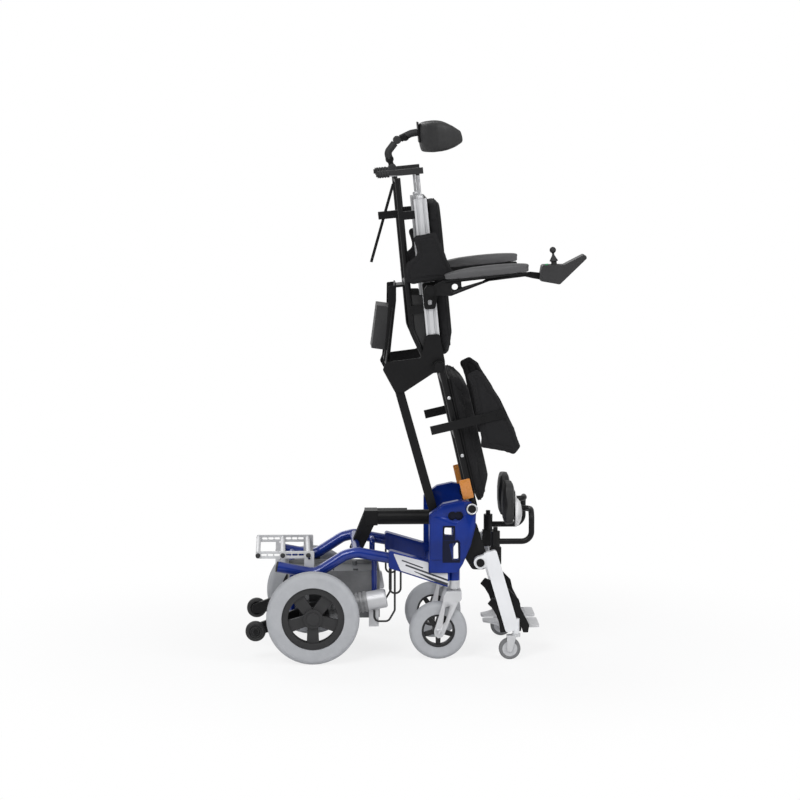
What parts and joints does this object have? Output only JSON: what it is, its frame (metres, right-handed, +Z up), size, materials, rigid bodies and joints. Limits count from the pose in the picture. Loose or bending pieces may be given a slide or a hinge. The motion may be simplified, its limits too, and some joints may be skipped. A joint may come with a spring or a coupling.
{
  "type": "standing wheelchair",
  "caption": "Electric stand-up wheelchair shown standing: lifting seat linked to a back with headrest, armrests with joystick, swing-out knee pads, footplates and powered base.",
  "frame": {"origin": "on the floor under the middle of the bounding box", "axes": "+X is the way the chair drives, +Y its left, +Z up"},
  "size_m": [1.1642, 0.627, 1.8523],
  "materials": {
    "blue_paint": "gloss",
    "black_paint": "satin",
    "white_paint": "gloss",
    "silver_alloy": "satin",
    "steel": "brushed",
    "grey_tyre": "matte",
    "black_rubber": "matte",
    "black_plastic": "matte",
    "battery_case": "matte",
    "upholstery": "woven",
    "button": "gloss"
  },
  "bodies": {
    "base": {"side_frames": "blue_paint", "front_columns": "blue_paint", "cross_tubes": "blue_paint", "leg_hangers": "black_paint", "rear_rack": "silver_alloy", "antitip_arms": "black_paint", "drive_gearboxes": "silver_alloy", "drive_motors": "black_paint", "battery_tray": "black_paint", "batteries": "battery_case", "lift_actuator": "black_paint", "motor_cables": "black_rubber"},
    "seat": {"seat_frame": "black_paint", "seat_cushion": "upholstery", "thigh_pads": "upholstery"},
    "links": {"lift_links": "black_paint"},
    "lift_rod": {"actuator_rod": "steel"},
    "back": {"back_posts": "silver_alloy", "back_cushion": "upholstery", "back_canes": "black_paint", "back_brackets": "black_paint", "trunk_pads": "upholstery", "rear_box": "black_plastic", "push_handles": "silver_alloy", "handle_grips": "black_rubber"},
    "headrest_lower": {"headrest_lower_arm": "black_paint"},
    "headrest_upper": {"headrest_upper_arm": "black_paint", "headrest_pad": "upholstery"},
    "armrest_right": {"armrest_frame_right": "black_paint", "armrest_pad_right": "upholstery", "control_pod": "black_plastic"},
    "armrest_left": {"armrest_frame_left": "black_paint", "armrest_pad_left": "upholstery"},
    "gimbal": {"joystick_gimbal": "steel"},
    "stick": {"joystick": "black_rubber"},
    "button": {"power_button": "button"},
    "leg_rest": {"leg_bars": "white_paint", "leg_brackets": "black_paint"},
    "drive_wheel_right": {"drive_tyre_right": "grey_tyre", "drive_rim_right": "black_plastic"},
    "caster_right": {"caster_fork_right": "silver_alloy"},
    "caster_wheel_right": {"caster_tyre_right": "grey_tyre", "caster_rim_right": "black_plastic"},
    "antitip_right": {"antitip_wheel_right": "black_rubber"},
    "foot_right": {"footplate_right": "silver_alloy"},
    "knee_right": {"knee_arm_right": "black_paint", "knee_pad_right": "upholstery"},
    "floor_caster_right": {"floor_caster_fork_right": "silver_alloy"},
    "floor_wheel_right": {"floor_caster_wheel_right": "grey_tyre"},
    "drive_wheel_left": {"drive_tyre_left": "grey_tyre", "drive_rim_left": "black_plastic"},
    "caster_left": {"caster_fork_left": "silver_alloy"},
    "caster_wheel_left": {"caster_tyre_left": "grey_tyre", "caster_rim_left": "black_plastic"},
    "antitip_left": {"antitip_wheel_left": "black_rubber"},
    "foot_left": {"footplate_left": "silver_alloy"},
    "knee_left": {"knee_arm_left": "black_paint", "knee_pad_left": "upholstery"},
    "floor_caster_left": {"floor_caster_fork_left": "silver_alloy"},
    "floor_wheel_left": {"floor_caster_wheel_left": "grey_tyre"}
  },
  "joints": [
    {"name": "stand_up", "type": "hinge", "parent": "base", "child": "seat", "pos_m": [0.19785, 0, 0.528], "axis": [0, 1, 0], "range_deg": [-77, 0]},
    {"name": "back_recline", "type": "hinge", "parent": "seat", "child": "back", "pos_m": [0.08537, 0, 1.01519], "axis": [0, 1, 0], "range_deg": [0, 64]},
    {"name": "lift_link_swing", "type": "hinge", "parent": "base", "child": "links", "pos_m": [0.08385, 0, 0.46], "axis": [0, 1, 0], "range_deg": [-78, 0]},
    {"name": "lift_stroke", "type": "slide", "parent": "base", "child": "lift_rod", "axis": [1, 0, 0], "range_m": [0, 0.0997]},
    {"name": "leg_rest_swing", "type": "hinge", "parent": "base", "child": "leg_rest", "pos_m": [0.22785, 0, 0.34], "axis": [0, 1, 0], "range_deg": [-8, 0]},
    {"name": "headrest_lower_tilt", "type": "hinge", "parent": "back", "child": "headrest_lower", "pos_m": [-0.06807, 0, 1.69059], "axis": [0, 1, 0], "range_deg": [-25, 25]},
    {"name": "headrest_upper_tilt", "type": "hinge", "parent": "headrest_lower", "child": "headrest_upper", "pos_m": [-0.0511, 0, 1.78565], "axis": [0, 1, 0], "range_deg": [-30, 30]},
    {"name": "drive_wheel_right_spin", "type": "hinge", "parent": "base", "child": "drive_wheel_right", "pos_m": [-0.35015, -0.285, 0.16], "axis": [0, 1, 0], "continuous": true},
    {"name": "caster_right_swivel", "type": "hinge", "parent": "base", "child": "caster_right", "pos_m": [0.13885, -0.2, 0.29], "axis": [0, 0, 1], "continuous": true},
    {"name": "caster_right_spin", "type": "hinge", "parent": "caster_right", "child": "caster_wheel_right", "pos_m": [0.08385, -0.2, 0.1], "axis": [0, 1, 0], "continuous": true},
    {"name": "antitip_right_spin", "type": "hinge", "parent": "base", "child": "antitip_right", "pos_m": [-0.54715, -0.228, 0.105], "axis": [0, 1, 0], "continuous": true},
    {"name": "armrest_right_flip", "type": "hinge", "parent": "back", "child": "armrest_right", "pos_m": [0.05182, -0.265, 1.28019], "axis": [0, 1, 0], "range_deg": [-90, 0]},
    {"name": "footplate_right_fold", "type": "hinge", "parent": "leg_rest", "child": "foot_right", "pos_m": [0.34485, -0.188, 0.106], "axis": [1, 0, 0], "range_deg": [0, 90]},
    {"name": "knee_right_swing", "type": "hinge", "parent": "leg_rest", "child": "knee_right", "pos_m": [0.28185, -0.196, 0.42], "axis": [0, 0, -1], "range_deg": [0, 100]},
    {"name": "floor_caster_right_swivel", "type": "hinge", "parent": "leg_rest", "child": "floor_caster_right", "pos_m": [0.35285, -0.221, 0.11], "axis": [0, 0, 1], "continuous": true},
    {"name": "floor_wheel_right_spin", "type": "hinge", "parent": "floor_caster_right", "child": "floor_wheel_right", "pos_m": [0.33085, -0.221, 0.0375], "axis": [0, 1, 0], "continuous": true},
    {"name": "drive_wheel_left_spin", "type": "hinge", "parent": "base", "child": "drive_wheel_left", "pos_m": [-0.35015, 0.285, 0.16], "axis": [0, 1, 0], "continuous": true},
    {"name": "caster_left_swivel", "type": "hinge", "parent": "base", "child": "caster_left", "pos_m": [0.13885, 0.2, 0.29], "axis": [0, 0, 1], "continuous": true},
    {"name": "caster_left_spin", "type": "hinge", "parent": "caster_left", "child": "caster_wheel_left", "pos_m": [0.08385, 0.2, 0.1], "axis": [0, 1, 0], "continuous": true},
    {"name": "antitip_left_spin", "type": "hinge", "parent": "base", "child": "antitip_left", "pos_m": [-0.54715, 0.228, 0.105], "axis": [0, 1, 0], "continuous": true},
    {"name": "armrest_left_flip", "type": "hinge", "parent": "back", "child": "armrest_left", "pos_m": [0.05182, 0.265, 1.28019], "axis": [0, 1, 0], "range_deg": [-90, 0]},
    {"name": "footplate_left_fold", "type": "hinge", "parent": "leg_rest", "child": "foot_left", "pos_m": [0.34485, 0.188, 0.106], "axis": [-1, 0, 0], "range_deg": [0, 90]},
    {"name": "knee_left_swing", "type": "hinge", "parent": "leg_rest", "child": "knee_left", "pos_m": [0.28185, 0.196, 0.42], "axis": [0, 0, 1], "range_deg": [0, 100]},
    {"name": "floor_caster_left_swivel", "type": "hinge", "parent": "leg_rest", "child": "floor_caster_left", "pos_m": [0.35285, 0.221, 0.11], "axis": [0, 0, 1], "continuous": true},
    {"name": "floor_wheel_left_spin", "type": "hinge", "parent": "floor_caster_left", "child": "floor_wheel_left", "pos_m": [0.33085, 0.221, 0.0375], "axis": [0, 1, 0], "continuous": true},
    {"name": "joystick_roll", "type": "hinge", "parent": "armrest_right", "child": "gimbal", "pos_m": [0.4753, -0.265, 1.35814], "axis": [0.9954, 0, 0.0958], "range_deg": [-18, 18], "stiffness_Nm_per_rad": 0.3},
    {"name": "joystick_pitch", "type": "hinge", "parent": "gimbal", "child": "stick", "pos_m": [0.4753, -0.265, 1.35814], "axis": [0, 1, 0], "range_deg": [-18, 18], "stiffness_Nm_per_rad": 0.3},
    {"name": "power_button_press", "type": "slide", "parent": "armrest_right", "child": "button", "axis": [0.0958, 0, -0.9954], "range_m": [0, 0.0015], "stiffness_N_per_m": 600}
  ],
  "couplings": [
    {"joint": "back_recline", "follows": "stand_up", "ratio": -0.83117},
    {"joint": "lift_link_swing", "follows": "stand_up", "ratio": 1.007},
    {"joint": "lift_stroke", "follows": "stand_up", "m_per_rad": -0.074112},
    {"joint": "leg_rest_swing", "follows": "stand_up", "ratio": 0.1039}
  ]
}
